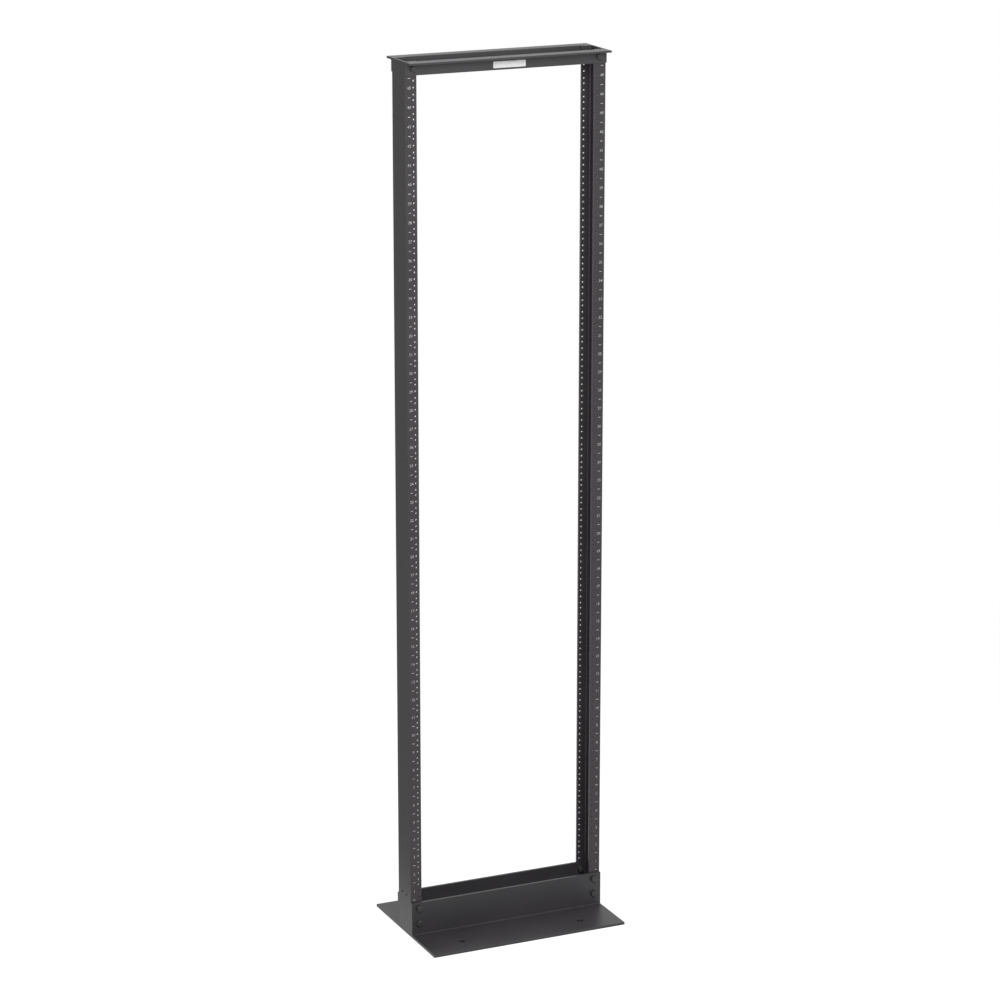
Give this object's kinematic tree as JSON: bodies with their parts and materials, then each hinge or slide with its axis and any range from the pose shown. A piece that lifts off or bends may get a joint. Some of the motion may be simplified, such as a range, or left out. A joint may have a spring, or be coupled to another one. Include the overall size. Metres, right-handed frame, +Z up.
{
  "type": "two post open frame rack",
  "caption": "Tall open frame rack: a pair of punched channel posts on wide base angles, tied by top angles, that carries 19 inch equipment.",
  "frame": {"origin": "on the floor, at the middle of the rack's footprint", "axes": "+Z up along the posts, X across the rack between the posts, -Y towards the front"},
  "size_m": [0.508, 0.362, 2.1336],
  "materials": {
    "posts": "black powder coat, satin",
    "base_angles": "black powder coat, satin",
    "top_angles": "black powder coat, satin",
    "frame_bolts": "black oxide",
    "unit_marks": "white screen print",
    "blank_label": "plain pale label"
  },
  "bodies": {
    "root": {"left_upright": "posts", "right_upright": "posts", "front_base_angle": "base_angles", "rear_base_angle": "base_angles", "front_top_angle": "top_angles", "rear_top_angle": "top_angles"}
  },
  "joints": []
}
